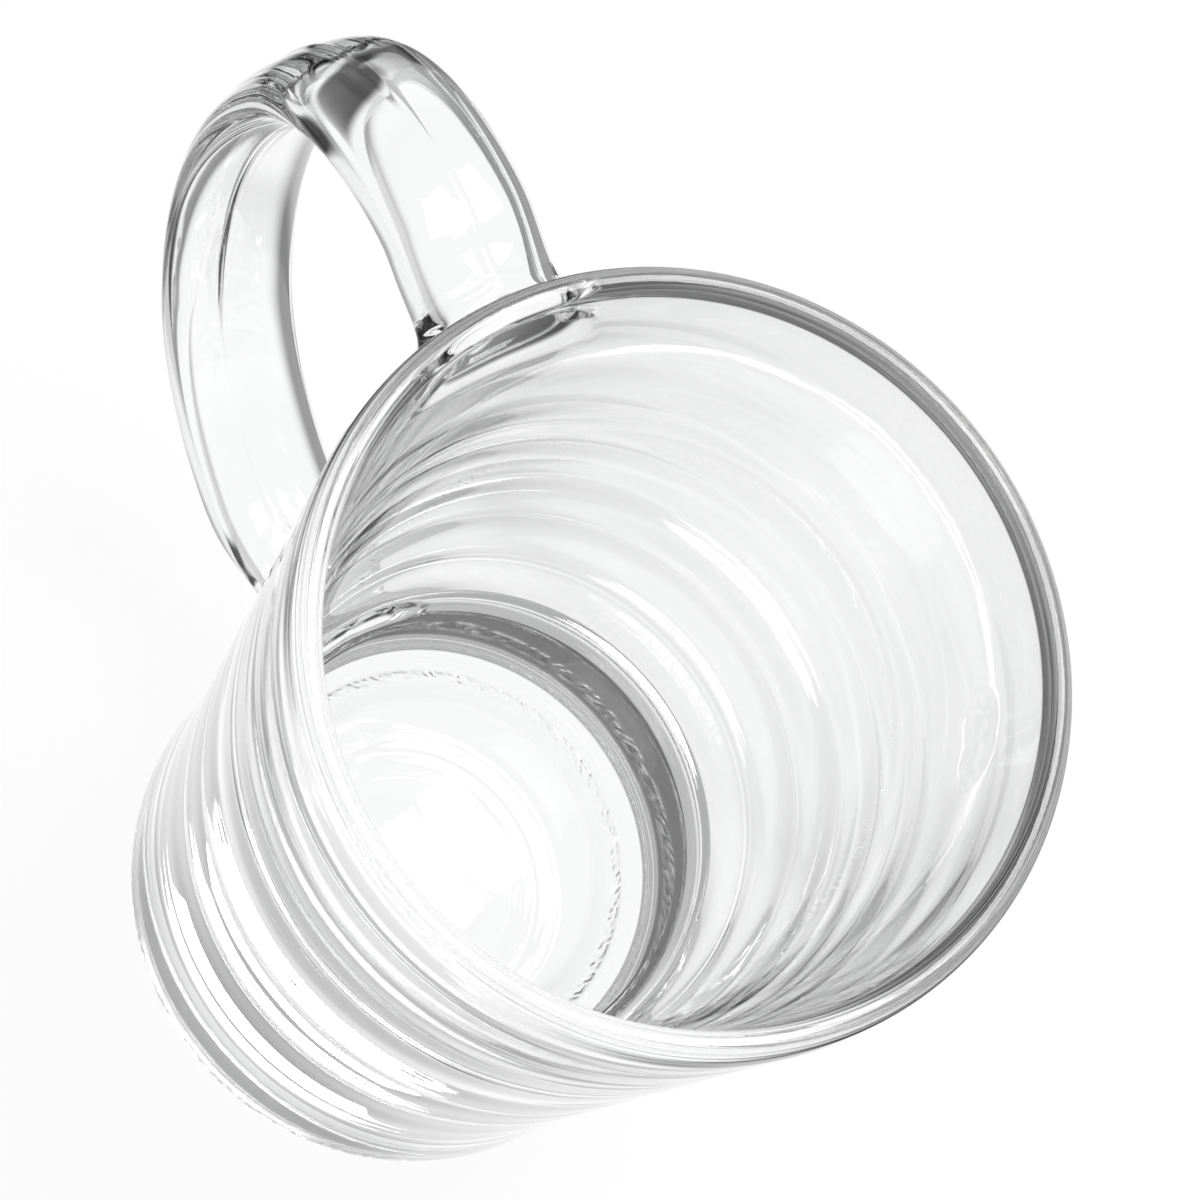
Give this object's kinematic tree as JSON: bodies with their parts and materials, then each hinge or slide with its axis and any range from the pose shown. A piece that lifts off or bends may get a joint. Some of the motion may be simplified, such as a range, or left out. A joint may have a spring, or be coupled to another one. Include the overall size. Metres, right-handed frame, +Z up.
{
  "type": "glass beer mug",
  "caption": "Clear pressed-glass beer mug with a tapered ringed wall, a thick solid base and a broad strap handle fused to its side.",
  "frame": {"origin": "on the axis of the bowl, in the plane of the foot ring that stands on the table", "axes": "+Z up along the axis of the bowl, +X from that axis through the middle of the handle, +Y across the handle"},
  "size_m": [0.1249, 0.084, 0.1215],
  "materials": {
    "bowl": "clear, fire polished",
    "handle": "clear, fire polished"
  },
  "bodies": {
    "root": {"bowl": "bowl", "handle": "handle"}
  },
  "joints": []
}
